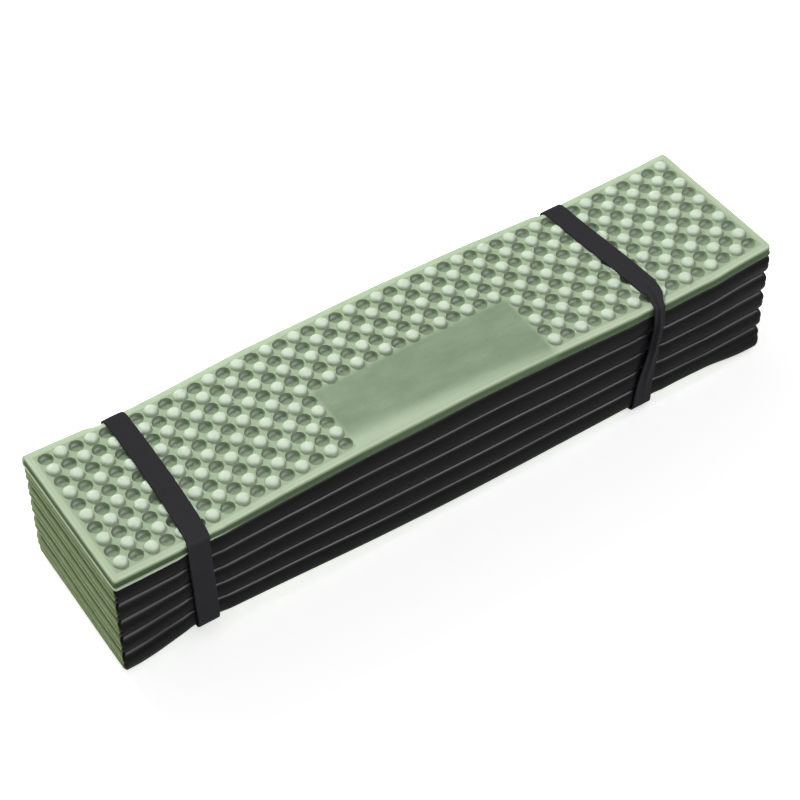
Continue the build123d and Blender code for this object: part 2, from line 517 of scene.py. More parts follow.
def shell(name, face_a, face_b, rings, sharp=None, with_patch=False, crisp_ring=None):
    """A closed mesh from two egg-crate faces and the rings between their borders.
    A face is (points, faces, border indices, relief shading, edge tint and shading); a ring is (points, relief
    shading, edge tint and shading). Both values carry painted highlight and shade."""
    pts = [face_a[0], face_b[0]]
    na = len(face_a[0])
    relief_shading = [face_a[3], face_b[3]]
    edge_tint_and_shading = [face_a[4], face_b[4]]
    count = na + len(face_b[0])
    fb = face_b[1].copy()
    m = fb[:, 3] >= 0
    q = np.where(fb < 0, -1, fb + na)
    q2 = q.copy()
    q2[m] = q[m][:, ::-1]
    q2[~m, :3] = q[~m][:, [2, 1, 0]]
    faces = [face_a[1], q2]
    previous = face_a[2]
    for p, t, r in rings:
        ring = np.arange(count, count + len(p))
        count += len(p)
        pts.append(p); relief_shading.append(t); edge_tint_and_shading.append(r)
        faces.append(stitch(previous, ring)[:, :])
        previous = ring
    faces.append(stitch(previous, face_b[2] + na))
    # The walls go the other way round from face_a's own faces.
    walls = np.concatenate(faces[2:])
    wm = walls[:, 3] >= 0
    w2 = walls.copy()
    w2[wm] = walls[wm][:, ::-1]
    w2[~wm, :3] = walls[~wm][:, [2, 1, 0]]
    faces = np.concatenate([faces[0], faces[1], w2])
    pts = np.concatenate(pts)
    faces = outward(pts, faces)
    pts = pts.copy()
    crisp = None
    if crisp_ring is not None:
        size = len(rings[0][0])
        crisp = (na + len(face_b[0]) + crisp_ring * size, na + len(face_b[0]) + (crisp_ring + 1) * size)
    smooth_patch = patch_shade(pts[:, 0], pts[:, 1]) * (pts[:, 2] > HEIGHT - 3) if with_patch else 0 * pts[:, 0]
    pts[:, 0] = lean(pts[:, 0], pts[:, 1], pts[:, 2])
    return make_mesh(name, pts, faces, {"relief_shading": np.concatenate(relief_shading), "edge_tint_and_shading": np.concatenate(edge_tint_and_shading),
                                        "patch": smooth_patch}, sharp, crisp)


def face_points(lat, j, shift, amount, patch=False, relief_shading_scale=1.0):
    x, y = lat["xy"][:, 0], lat["xy"][:, 1]
    z, relief_shading = relief(lat, amount, patch)
    z = z + level(j, x, y) + shift
    if patch:
        z = z + np.where(in_patch(lat), 0.12 * np.sin(x / 9 + y / 7), 0)
    return np.column_stack([x, y, z]), relief_shading * relief_shading_scale


def inner_points(lat, j, shift, amount, sign):
    """The joint between the two layers. It gives way where the black face goes inwards and is flat elsewhere."""
    x, y = lat["xy"][:, 0], lat["xy"][:, 1]
    inwards = (lat["par"] == 1) if sign > 0 else (lat["par"] != 1)
    depth = (BUMP_H if sign > 0 else WELL_H) * amount
    z = np.where(inwards & (lat["rad"] < .46), sign * depth, 0.0)
    return np.column_stack([x, y, z + level(j, x, y) + shift]), 0 * x


LAT8 = lattice(8, [.472, .41, .30])
LAT8_IN = lattice(8, [.45])
LAT16 = lattice(16, BUMP_R[:-1])
LAT16_IN = lattice(16, [.45])


def panel(k):
    """The green and the black mesh of panel k."""
    odd = k % 2 == 1
    sign = 1.0 if odd else -1.0
    jb, jg = (k, k - 1) if odd else (k - 1, k)
    lat_g, lat_i = (LAT16, LAT16_IN) if k == 1 else (LAT8, LAT8_IN)
    no_gap_g = jg in (0, 12)
    green_pts, green_relief_shading = face_points(lat_g, jg, 0 if no_gap_g else -sign * GAP, RELIEF[jg], patch=(k == 1))
    if jg != 0:              # seen from the green side, what goes down is a bump on a panel lying green side down
        # The painted highlight stays on what rises and the painted shade on what sinks.
        green_relief_shading = green_relief_shading * sign
    idx, x, y, z, cover, wrap, thick, _, phi, plain, s0, s1 = edge_rings(k, lat_g)
    # inward normals of the section, in the plane of (outward distance, height)
    bx, by = lat_g["xy"][idx, 0], lat_g["xy"][idx, 1]
    o = np.hypot(x - bx[:, None], y - by[:, None])
    do = np.gradient(o, axis=1)
    dz = np.gradient(z, axis=1)
    do[:, 0], dz[:, 0] = 1.0, 0.0
    ln = np.hypot(do, dz) + 1e-9
    no, nz = -np.abs(dz) / ln, sign * np.abs(do) / ln
    o_in = np.maximum(o + no * thick, 0.0)
    z_in = z + nz * thick
    with np.errstate(divide="ignore", invalid="ignore"):
        f = np.where(o > 1e-6, o_in / np.maximum(o, 1e-6), 0)
    xi = bx[:, None] + (x - bx[:, None]) * f
    yi = by[:, None] + (y - by[:, None]) * f
    J = 14
    u = np.linspace(0, 1, J + 1)
    t1 = cover[:, None] * u[None]
    outer = [at_index(a, t1) for a in (x, y, z)]
    inner = [at_index(a, t1) for a in (xi, yi, z_in)]
    zero = np.zeros(len(idx))
    shade = 0.0

    def ring(a, i, relief_shading=0.0, edge_tint_and_shading=0.0):
        return (np.column_stack([a[0][:, i], a[1][:, i], a[2][:, i]]), zero + relief_shading, zero + edge_tint_and_shading)

    # black: outer face, out over the edge, back along the inner side
    lat_b = LAT8
    if k == 1:
        # the black layer of panel 1 has its own, coarser border
        idb, xb, yb, zb_, coverb, wrapb, thickb, _, phib, plainb, s0b, s1b = edge_rings(k, LAT8)
        bxb, byb = LAT8["xy"][idb, 0], LAT8["xy"][idb, 1]
        ob = np.hypot(xb - bxb[:, None], yb - byb[:, None])
        dob, dzb = np.gradient(ob, axis=1), np.gradient(zb_, axis=1)
        dob[:, 0], dzb[:, 0] = 1.0, 0.0
        lnb = np.hypot(dob, dzb) + 1e-9
        oib = np.maximum(ob - np.abs(dzb) / lnb * thick, 0)
        zib = zb_ + sign * np.abs(dob) / lnb * thick
        fb = np.where(ob > 1e-6, oib / np.maximum(ob, 1e-6), 0)
        xib, yib = bxb[:, None] + (xb - bxb[:, None]) * fb, byb[:, None] + (yb - byb[:, None]) * fb
        tb = coverb[:, None] * u[None]
        outer_b = [at_index(a, tb) for a in (xb, yb, zb_)]
        inner_b = [at_index(a, tb) for a in (xib, yib, zib)]
        idx_b = idb
    else:
        outer_b, inner_b, idx_b = outer, inner, idx
    zero_b = np.zeros(len(idx_b))

    def ring_b(a, i):
        return (np.column_stack([a[0][:, i], a[1][:, i], a[2][:, i]]), zero_b, zero_b)

    black_pts, black_tone = face_points(LAT8, jb, sign * GAP, RELIEF[jb])
    black_tone = black_tone * (-sign)
    in_pts8, in_tone8 = inner_points(LAT8_IN, jb, sign * (GAP + thick), RELIEF[jb], sign)
    idx_in8 = border(LAT8_IN)[0]
    rings = [ring_b(outer_b, i) for i in range(1, J + 1)] + [ring_b(inner_b, i) for i in range(J, 0, -1)]
    black = shell(f"panel_{k:02d}_black_skin",
                  (black_pts, LAT8["faces"], idx_b, black_tone, 0 * black_tone),
                  (in_pts8, LAT8_IN["faces"], idx_in8, 0 * in_tone8, 0 * in_tone8), rings, sharp=62, crisp_ring=J - 1)

    # green: the interface, out under the black layer, the cut, the visible edge, the green face
    in_pts, in_tone = inner_points(lat_i, jb, sign * (GAP + thick), RELIEF[jb], sign)
    idx_in = border(lat_i)[0]
    cut = [at_index(a, cover[:, None])[:, 0] for a in (x, y, z)]
    cut_in = [at_index(a, cover[:, None])[:, 0] for a in (xi, yi, z_in)]
    open_ = (1 - wrap)
    cut = [ci + (c - ci) * open_ for c, ci in zip(cut, cut_in)]
    rings = [ring(inner, i) for i in range(1, J + 1)]
    rings.append((np.column_stack(cut), zero, zero))
    J2 = 16
    last = N_SEC - 1
    v = np.linspace(0, 1, J2 + 1)[1:-1]
    t2 = cover[:, None] + (last - cover[:, None]) * v[None]
    rest = [at_index(a, t2) for a in (x, y, z)]
    # Inside a front fold the green stops at the black skin.
    limit = np.hypot(cut[0] - bx, cut[1] - by)
    o2 = np.hypot(rest[0] - bx[:, None], rest[1] - by[:, None])
    f2 = np.where((wrap[:, None] > 0) & (o2 > limit[:, None]), (limit[:, None] / np.maximum(o2, 1e-6)), 1.0)
    f2 = 1 + (f2 - 1) * np.minimum(1, wrap[:, None] * 1.0)
    rest[0] = bx[:, None] + (rest[0] - bx[:, None]) * f2
    rest[1] = by[:, None] + (rest[1] - by[:, None]) * f2
    # Edge colour along the section: on panel 1 a painted highlight on the lip (0.7), painted shade on the wall (-0.8)
    # and a painted highlight on the upper edge (0.9); on the other panels the olive tint of the cut foam, darkened as
    # painted shade (-1).
    section_edge_tint_and_shading = np.zeros(N_SEC)
    if k == 1:
        section_edge_tint_and_shading[6:10] = 0.7                # the lip
        section_edge_tint_and_shading[10:14] = -0.8              # the wall
        section_edge_tint_and_shading[14:16] = 0.9               # the upper edge
    else:
        section_edge_tint_and_shading[4:15] = -1.0
    ring_edge_tint_and_shading = np.interp(t2, np.arange(N_SEC), section_edge_tint_and_shading)
    if k == 1:                             # the back is a fold, without the lip and the wall
        deg = np.degrees(phi)
        backness = np.where((s1 == 2) & plain, 1.0, 0.0)
        backness = np.where((s1 == 2) & ~plain, smooth((deg - 15) / 50), backness)
        backness = np.where((s1 == 3) & ~plain, 1 - smooth((deg - 25) / 50), backness)
        at_back = 1 - 0.85 * backness
        ring_edge_tint_and_shading = ring_edge_tint_and_shading * at_back[:, None]
        # Away from the left end the lip gets the wall's painted shade instead of its painted highlight.
        shaded_lip = smooth((bx + 245) / 70)[:, None] * ((t2 > 4.5) & (t2 < 10.5))
        ring_edge_tint_and_shading = ring_edge_tint_and_shading * (1 - shaded_lip) - 0.8 * shaded_lip * (at_back[:, None] > 0.5)
    for i in range(t2.shape[1]):
        rings.append((np.column_stack([rest[0][:, i], rest[1][:, i], rest[2][:, i]]), zero, ring_edge_tint_and_shading[:, i]))
    patch_rim = 0 * green_relief_shading
    green = shell(f"panel_{k:02d}_green_eggcrate",
                  (in_pts, lat_i["faces"], idx_in, 0 * in_tone, 0 * in_tone),
                  (green_pts, lat_g["faces"], border(lat_g)[0], green_relief_shading, patch_rim), rings,
                  sharp=58 if k == 1 else None, with_patch=(k == 1))
    return green, black


# ---- materials --------------------------------------------------------------------
def new_material(name):
    m = bpy.data.materials.new(name)
    m.use_nodes = True
    nt = m.node_tree
    for n in list(nt.nodes):
        nt.nodes.remove(n)
    out = nt.nodes.new("ShaderNodeOutputMaterial")
    bsdf = nt.nodes.new("ShaderNodeBsdfPrincipled")
    nt.links.new(bsdf.outputs[0], out.inputs[0])
    return m, nt, bsdf


def node(nt, kind, **values):
    n = nt.nodes.new(kind)
    for k, v in values.items():
        if k in n.inputs:
            n.inputs[k].default_value = v
        else:
            setattr(n, k, v)
    return n


def attribute(nt, name):
    return node(nt, "ShaderNodeAttribute", attribute_name=name)


def ramp(nt, source, stops):
    r = nt.nodes.new("ShaderNodeValToRGB")
    while len(r.color_ramp.elements) < len(stops):
        r.color_ramp.elements.new(0.5)
    for e, (p, c) in zip(r.color_ramp.elements, stops):
        e.position = p
        e.color = (*c, 1)
    nt.links.new(source, r.inputs[0])
    return r


def to_unit(nt, source, low, high):
    m = nt.nodes.new("ShaderNodeMapRange")
    m.inputs["From Min"].default_value = low
    m.inputs["From Max"].default_value = high
    nt.links.new(source, m.inputs["Value"])
    return m.outputs["Result"]


def srgb(r, g, b):
    return tuple((c / 255 / 12.92) if c / 255 <= 0.04045 else ((c / 255 + 0.055) / 1.055) ** 2.4 for c in (r, g, b))


def green_material(name, dark=1.0):
    m, nt, bsdf = new_material(name)
    relief_shading = attribute(nt, "relief_shading")
    edge_tint_and_shading = attribute(nt, "edge_tint_and_shading")
    # The relief value paints a highlight on the bump tops and shade in the wells and on the flats between them.
    base = ramp(nt, to_unit(nt, relief_shading.outputs["Fac"], -1, 1),
                [(0.0, srgb(124, 143, 114)), (0.10, srgb(122, 141, 112)), (0.42, srgb(160, 178, 148)),
                 (0.5, srgb(182, 200, 170)), (0.62, srgb(170, 189, 160)), (0.90, srgb(198, 215, 192)),
                 (1.0, srgb(208, 223, 203))])
    # Edge colours, partly painted light and shade: the olive tint of the cut foam, darkened as painted shade (-1),
    # painted shade on panel 1's front wall (-0.8), and painted highlights on the lip and the upper edge (0.7, 0.9).
    edge = ramp(nt, to_unit(nt, edge_tint_and_shading.outputs["Fac"], -1, 1),
                [(0.0, srgb(122, 138, 94)), (0.1, srgb(62, 86, 48)), (0.45, srgb(150, 168, 132)),
                 (0.85, srgb(186, 203, 170)), (1.0, srgb(198, 213, 186))])
    size = nt.nodes.new("ShaderNodeMath"); size.operation = "ABSOLUTE"
    nt.links.new(edge_tint_and_shading.outputs["Fac"], size.inputs[0])
    share = node(nt, "ShaderNodeMath", operation="MULTIPLY"); share.inputs[1].default_value = 1.3
    share.use_clamp = True
    nt.links.new(size.outputs[0], share.inputs[0])
    mix = nt.nodes.new("ShaderNodeMix"); mix.data_type = "RGBA"
    nt.links.new(share.outputs[0], mix.inputs["Factor"])
    nt.links.new(base.outputs[0], mix.inputs["A"])
    nt.links.new(edge.outputs[0], mix.inputs["B"])
    coord = nt.nodes.new("ShaderNodeTexCoord")
    # the smooth patch is darker, with soft streaks across it
    turn = nt.nodes.new("ShaderNodeMapping")
    turn.inputs["Rotation"].default_value = (0, 0, math.radians(35))
    turn.inputs["Scale"].default_value = (1.0, 2.2, 1.0)
    nt.links.new(coord.outputs["Object"], turn.inputs["Vector"])
    streak = node(nt, "ShaderNodeTexNoise", Scale=26.0, Detail=4.0, Roughness=0.65)
    nt.links.new(turn.outputs[0], streak.inputs["Vector"])
    streak_c = ramp(nt, streak.outputs["Fac"], [(0.32, srgb(120, 141, 112)), (0.68, srgb(135, 156, 126))])
    patch = attribute(nt, "patch")
    with_patch = nt.nodes.new("ShaderNodeMix"); with_patch.data_type = "RGBA"
    nt.links.new(patch.outputs["Fac"], with_patch.inputs["Factor"])
    nt.links.new(mix.outputs["Result"], with_patch.inputs["A"])
    nt.links.new(streak_c.outputs[0], with_patch.inputs["B"])
    mix = with_patch
    big = node(nt, "ShaderNodeTexNoise", Scale=14.0, Detail=3.0, Roughness=0.6)
    nt.links.new(coord.outputs["Object"], big.inputs["Vector"])
    fine = node(nt, "ShaderNodeTexNoise", Scale=900.0, Detail=2.0, Roughness=0.7)
    nt.links.new(coord.outputs["Object"], fine.inputs["Vector"])
    big_r = ramp(nt, big.outputs["Fac"], [(0.3, (0.92, 0.93, 0.90)), (0.7, (1.0, 1.0, 1.0))])
    fine_r = ramp(nt, fine.outputs["Fac"], [(0.3, (0.93, 0.93, 0.93)), (0.7, (1.0, 1.0, 1.0))])
    m1 = nt.nodes.new("ShaderNodeMix"); m1.data_type = "RGBA"; m1.blend_type = "MULTIPLY"
    m1.inputs["Factor"].default_value = 1.0
    nt.links.new(mix.outputs["Result"], m1.inputs["A"]); nt.links.new(big_r.outputs[0], m1.inputs["B"])
    m2 = nt.nodes.new("ShaderNodeMix"); m2.data_type = "RGBA"; m2.blend_type = "MULTIPLY"
    m2.inputs["Factor"].default_value = 1.0
    nt.links.new(m1.outputs["Result"], m2.inputs["A"]); nt.links.new(fine_r.outputs[0], m2.inputs["B"])
    nt.links.new(m2.outputs["Result"], bsdf.inputs["Base Color"])
    rough = ramp(nt, big.outputs["Fac"], [(0.2, (0.5, 0.5, 0.5)), (0.8, (0.66, 0.66, 0.66))])
    nt.links.new(rough.outputs[0], bsdf.inputs["Roughness"])
    bsdf.inputs["Specular IOR Level"].default_value = 0.12
    bump = node(nt, "ShaderNodeBump", Strength=0.12, Distance=0.0003)
    nt.links.new(fine.outputs["Fac"], bump.inputs["Height"])
    nt.links.new(bump.outputs[0], bsdf.inputs["Normal"])
    return m


def black_material(name):
    m, nt, bsdf = new_material(name)
    coord = nt.nodes.new("ShaderNodeTexCoord")
    big = node(nt, "ShaderNodeTexNoise", Scale=25.0, Detail=3.0, Roughness=0.6)
    nt.links.new(coord.outputs["Object"], big.inputs["Vector"])
    fine = node(nt, "ShaderNodeTexNoise", Scale=1100.0, Detail=2.0, Roughness=0.7)
    nt.links.new(coord.outputs["Object"], fine.inputs["Vector"])
    c = ramp(nt, big.outputs["Fac"], [(0.3, (0.0034, 0.0038, 0.0032)), (0.7, (0.0052, 0.0056, 0.0050))])
    nt.links.new(c.outputs[0], bsdf.inputs["Base Color"])
    r = ramp(nt, big.outputs["Fac"], [(0.2, (0.40, 0.40, 0.40)), (0.8, (0.46, 0.46, 0.46))])
    nt.links.new(r.outputs[0], bsdf.inputs["Roughness"])
    bsdf.inputs["Specular IOR Level"].default_value = 0.042
    bump = node(nt, "ShaderNodeBump", Strength=0.05, Distance=0.0002)
    nt.links.new(fine.outputs["Fac"], bump.inputs["Height"])
    nt.links.new(bump.outputs[0], bsdf.inputs["Normal"])
    return m


def webbing_material(name, base=(0.0125, 0.0119, 0.0150)):
    m, nt, bsdf = new_material(name)
    along = attribute(nt, "along")
    across = attribute(nt, "across")
    a = node(nt, "ShaderNodeMath", operation="MULTIPLY"); a.inputs[1].default_value = 2 * math.pi / 1.3
    nt.links.new(along.outputs["Fac"], a.inputs[0])
    sa = node(nt, "ShaderNodeMath", operation="SINE"); nt.links.new(a.outputs[0], sa.inputs[0])
    b = node(nt, "ShaderNodeMath", operation="MULTIPLY"); b.inputs[1].default_value = 2 * math.pi / 1.1
    nt.links.new(across.outputs["Fac"], b.inputs[0])
    sb = node(nt, "ShaderNodeMath", operation="SINE"); nt.links.new(b.outputs[0], sb.inputs[0])
    prod = node(nt, "ShaderNodeMath", operation="MULTIPLY")
    nt.links.new(sa.outputs[0], prod.inputs[0]); nt.links.new(sb.outputs[0], prod.inputs[1])
    unit = to_unit(nt, prod.outputs[0], -1, 1)
    c = ramp(nt, unit, [(0.0, tuple(v * 0.7 for v in base)), (1.0, tuple(v * 1.35 for v in base))])
    nt.links.new(c.outputs[0], bsdf.inputs["Base Color"])
    bsdf.inputs["Roughness"].default_value = 0.78
    bsdf.inputs["Specular IOR Level"].default_value = 0.04
    bsdf.inputs["Sheen Weight"].default_value = 0.03
    bsdf.inputs["Sheen Roughness"].default_value = 0.5
    bump = node(nt, "ShaderNodeBump", Strength=0.5, Distance=0.00025)
    nt.links.new(unit, bump.inputs["Height"])
    nt.links.new(bump.outputs[0], bsdf.inputs["Normal"])
    return m


def thread_material(name):
    m, nt, bsdf = new_material(name)
    coord = nt.nodes.new("ShaderNodeTexCoord")
    n = node(nt, "ShaderNodeTexNoise", Scale=1500.0, Detail=1.0)
    nt.links.new(coord.outputs["Object"], n.inputs["Vector"])
    c = ramp(nt, n.outputs["Fac"], [(0.3, (0.018, 0.018, 0.020)), (0.7, (0.05, 0.05, 0.054))])
    nt.links.new(c.outputs[0], bsdf.inputs["Base Color"])
    bsdf.inputs["Roughness"].default_value = 0.5
    return m


GREEN = green_material("green_closed_cell_foam")
BLACK = black_material("black_closed_cell_foam")
WEB = webbing_material("black_elastic_webbing")
THREAD = thread_material("black_thread")
for name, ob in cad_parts.items():
    ob.data.materials.clear()
    m = GREEN if "green" in name else THREAD if "stitching" in name else WEB if "strap" in name else BLACK
    ob.data.materials.append(m)


def settle(ob, body, node_name, material):
    ob.data.materials.append(material)
    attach(ob, body)
    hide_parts(node_name)
    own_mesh(ob)


for k in range(1, N_PANELS + 1):
    green, black = panel(k)
    settle(green, f"panel_{k:02d}", f"panel_{k:02d}_green_foam", GREEN)
    settle(black, f"panel_{k:02d}", f"panel_{k:02d}_black_base", BLACK)


# ---- crease webs -------------------------------------------------------------------
def crease(k):
    """A thin web along the fold between panel k and panel k + 1, seated in the tip of the fold."""
    side = 1 if k % 2 == 1 else -1
    xs = np.linspace(-(HX + 1.5), HX + 1.5, 240)
    pr = press(xs, 0)
    shrink = 0.6 if side > 0 else 1.1
    wob = 0
    if side < 0:
        pair = k // 2
        wob = ((0.35 * np.sin(xs / 47.0 + 2.1 * pair) + 0.25 * np.sin(xs / 19.0 + 1.3 * pair)) - 0.3) * 0.03
    o = TIP * (1 + wob) * (1 - pr * shrink / TIP)
    y = side * (HY + o - 1.1)
    z = level(k, xs, y)
    n = 10
    pts = []
    for i in range(n):
        a = 2 * math.pi * i / n
        pts.append(np.column_stack([xs, y + 0.70 * math.cos(a) * side, z + 0.42 * math.sin(a)]))
    v = np.stack(pts, 1)                     # (240, n, 3)
    m = len(xs)
    faces = []
    for i in range(n):
        j = (i + 1) % n
        a = np.arange(m - 1)
        faces.append(np.stack([a * n + i, (a + 1) * n + i, (a + 1) * n + j, a * n + j], 1))
    v = v.reshape(-1, 3)
    caps = np.array([v[:n].mean(0), v[-n:].mean(0)])
    c0, c1 = len(v), len(v) + 1
    v = np.concatenate([v, caps])
    i = np.arange(n); j = (i + 1) % n
    faces.append(np.stack([i, j, np.full(n, c0), np.full(n, -1)], 1))
    faces.append(np.stack([(m - 1) * n + j, (m - 1) * n + i, np.full(n, c1), np.full(n, -1)], 1))
    faces = outward(v, np.concatenate(faces))
    v[:, 0] = lean(v[:, 0], v[:, 1], v[:, 2])
    z0 = np.zeros(len(v))
    ob = make_mesh(f"crease_web_{k:02d}_{k + 1:02d}", v, faces, {"relief_shading": z0, "edge_tint_and_shading": z0, "patch": z0})
    settle(ob, f"panel_{k + 1:02d}", f"crease_{k:02d}_{k + 1:02d}", BLACK)


for k in range(1, N_PANELS):
    crease(k)


# ---- elastic straps -----------------------------------------------------------------
def resample(path, step):
    d = np.r_[0, np.cumsum(np.linalg.norm(np.diff(path, axis=0), axis=1))]
    n = int(d[-1] / step)
    t = np.linspace(0, d[-1], n + 1)
    return np.column_stack([np.interp(t, d, path[:, i]) for i in range(path.shape[1])]), t


def soften(path, rounds):
    for _ in range(rounds):
        path = path * 0.5 + (np.roll(path, 1, 0) + np.roll(path, -1, 0)) * 0.25
    return path


def strap(side):
    x_lo = strap_line_x(side, np.array(-69.0)) + 0.0
    x_lip = (-18.2 if side == "left" else 14.55) * P
    x_bot = (-18.15 if side == "left" else 13.6) * P
    c = STRAP_T / 2
    rows = []                                # x, y, z, nominal width
    ys = np.linspace(57, -64.5, 90)
    for y in ys:                             # over the top, lying on the bumps
        x = float(top_line_x(side, y))
        zz = max(float(top(x + d, y)) for d in (-6, 0, 6)) + 0.6 + 0.15 + c
        if y < -60:
            zz -= (-60 - y) * 0.22
        rows.append((x, y, zz))
    zt = float(top(x_lip, -66.0))
    y_f = -(HY + TIP + 0.35 + c) + (0.25 if side == "left" else 0.1)
    rows.append((x_lip + 0.1 * P, -67.6, zt + 1.7))
    rows.append((x_lip, y_f - .4, zt - 1.5))
    zb = float(ground(x_bot, -66.0))
    for t in np.linspace(0, 1, 50):          # down the front
        z = zt - 4 + (zb + 3.5 - zt + 4) * t
        rows.append((x_lip + (x_bot - x_lip) * smooth(np.array(t)), y_f - 0.25 * math.sin(t * math.pi * 5), z))
    rows.append((x_bot, y_f + 2.2, zb + 0.3))
    for y in np.linspace(-62, 62, 60):       # under the pad
        x = float(strap_line_x(side, y)) if side == "left" else float(strap_line_x(side, np.array(y)))
        zz = min(float(ground(x + d, y)) for d in (-7, 0, 7)) - 0.15 - c
        rows.append((x, y, max(zz, c + 0.15)))
    x_back = rows[-1][0]
    zb2 = float(ground(x_back, 66.0))
    x_t = float(top_line_x(side, 62.0))
    y_b = HY + TIP + 0.6 + c
    rows.append((x_back, y_b - 1.5, zb2 + 0.6))
    zt2 = float(top(x_t, 66.0))
    for t in np.linspace(0, 1, 50):          # up the back
        z = zb2 + 3.5 + (zt2 - 9.0 - zb2 - 3.5) * t
        rows.append((x_back + (x_t - x_back) * t, y_b, z))
    rows.append((x_t, HY + 8.6, zt2 - 3.6))
    rows.append((x_t, HY + 5.6, zt2 + 0.6))
    rows.append((x_t, HY + 0.6, zt2 + 1.6))
    path = np.array(rows)
    path, _ = resample(np.vstack([path, path[:1]]), 1.4)
    path = soften(path[:-1], 5)
    n = len(path)
    tangent = np.roll(path, -1, 0) - np.roll(path, 1, 0)
    tangent /= np.linalg.norm(tangent, axis=1)[:, None]
    across = np.tile(np.array([1.0, 0, 0]), (n, 1))
    across -= tangent * (across * tangent).sum(1)[:, None]
    across /= np.linalg.norm(across, axis=1)[:, None]
    outn = np.cross(across, tangent)
    centre = path.mean(0)
    flip = ((path - centre) * outn).sum(1).mean() < 0
    if flip:
        outn = -outn
    outn = soften(outn, 10)                  # no crossing of the thickness in the tight bends
    outn /= np.linalg.norm(outn, axis=1)[:, None]
    length = np.r_[0, np.cumsum(np.linalg.norm(np.diff(path, axis=0), axis=1))]
    width = np.full(n, STRAP_W)
    crumple = np.zeros(n)
    if side == "right":                      # bunched and half twisted where it goes over the front edge
        on_front = path[:, 1] < -60
        h = (path[:, 2] - 0) / HEIGHT
        near = np.where(on_front, np.where(h > .9, 1.0, smooth((h - .05) / .8) ** 0.7), 0)
        near = np.maximum(near, np.where(path[:, 2] > 60, smooth((-path[:, 1] - 42) / 24), 0))
        near = soften(near[:, None], 6)[:, 0]
        width = STRAP_W * (1 - 0.44 * near)
        crumple = 2.2 * near * (1 - 0.55 * (np.abs(path[:, 1] + 66) < 9) * (path[:, 2] > HEIGHT - 14))
        crumple = soften(crumple[:, None], 8)[:, 0]
    m = 29
    u = np.linspace(-1, 1, m)
    edge = np.sqrt(np.clip(1 - ((np.abs(u) - .93) / .07).clip(0, 1) ** 2, 0, 1))
    half = c * (0.30 + 0.70 * edge)          # rounded selvedges
    rib = 0.07 * np.cos(u * math.pi * 13)    # lengthwise cords of the elastic
    verts, along, acr = [], [], []
    for s_, sgn in ((1, 1), (-1, -1)):
        uu = u if s_ == 1 else u[::-1]
        hh = half if s_ == 1 else half[::-1]
        rr = rib if s_ == 1 else rib[::-1]
        off = crumple[:, None] * (0.62 * np.sin(uu * math.pi * 1.15 + 0.5)[None] + 0.35 * np.cos(uu * 2.2 * math.pi)[None])
        off = np.maximum(off, -0.6 * crumple[:, None]) + 0.45 * crumple[:, None]
        pos = path[:, None, :] + across[:, None, :] * (uu[None] * width[:, None] / 2)[:, :, None] \
            + outn[:, None, :] * (off + sgn * (hh + rr)[None])[:, :, None]
        bend = smooth((pos[:, :, 1] - 48) / 14) * smooth((pos[:, :, 2] - HEIGHT + 5) / 7)
        pos[:, :, 1] -= bend * 1.8 * np.abs(uu)[None] ** 3
        verts.append(pos)
        along.append(np.repeat(length[:, None], m, 1))
        acr.append(np.repeat((uu * STRAP_W / 2)[None], n, 0))
    v = np.concatenate(verts, 1)             # (n, 2m, 3)
    along, acr = np.concatenate(along, 1), np.concatenate(acr, 1)
    w = 2 * m
    a = np.arange(n)
    b = (a + 1) % n
    faces = []
    for i in range(w):
        j = (i + 1) % w
        faces.append(np.stack([a * w + i, b * w + i, b * w + j, a * w + j], 1))
    faces = np.concatenate(faces)
    v = v.reshape(-1, 3)
    # a loop's signed volume is positive when its faces look out of the webbing
    q = faces
    tri = np.concatenate([q[:, [0, 1, 2]], q[:, [0, 2, 3]]])
    vol = np.einsum("ij,ij->i", v[tri[:, 0]], np.cross(v[tri[:, 1]], v[tri[:, 2]])).sum()
    if vol < 0:
        faces = faces[:, ::-1]
    # The sewn overlap: a second layer on the back run.
    zs = np.linspace(HEIGHT / 2 - 17, HEIGHT / 2 + 17, 40)
    xb = np.interp(zs, [zb2 + 3.5, zt2 - 9.0], [x_back, x_t])
    lap, la, lx = [], [], []
    ends = np.minimum(1, np.minimum(np.arange(40), np.arange(40)[::-1]) / 2.0)
    for s_ in (1, -1):
        uu = u if s_ == 1 else u[::-1]
        hh = half if s_ == 1 else half[::-1]
        t = hh[None] * (0.35 + 0.65 * ends[:, None])
        y = y_b + STRAP_T + 0.05 + s_ * t + (0.07 * np.cos(uu * math.pi * 13))[None] * s_
        x = xb[:, None] + (uu * STRAP_W / 2)[None]
        lap.append(np.stack([x, y, np.repeat(zs[:, None], m, 1)], 2))
        la.append(np.repeat(zs[:, None], m, 1)); lx.append(np.repeat((uu * STRAP_W / 2)[None], 40, 0))
    lv = np.concatenate(lap, 1)
    base = len(v)
    a = np.arange(39)
    lf = []
    for i in range(w):
        j = (i + 1) % w
        lf.append(np.stack([a * w + i, (a + 1) * w + i, (a + 1) * w + j, a * w + j], 1))
    for e in (0, 39):                        # close its two ends
        for i in range(m - 1):
            qd = [e * w + i, e * w + i + 1, e * w + w - 2 - i, e * w + w - 1 - i]
            lf.append(np.array([qd if e == 0 else qd[::-1]]))
    lf = np.concatenate(lf)
    lf = outward(lv.reshape(-1, 3), lf)
    v = np.concatenate([v, lv.reshape(-1, 3)])
    faces = np.concatenate([faces, lf + base])
    along = np.concatenate([along.ravel(), np.concatenate(la, 1).ravel()])
    acr = np.concatenate([acr.ravel(), np.concatenate(lx, 1).ravel()])
    ob = make_mesh(f"{side}_elastic_loop", v, faces, {"along": along, "across": acr}, sharp=75)
    settle(ob, f"{side}_strap", f"{side}_strap", WEB)

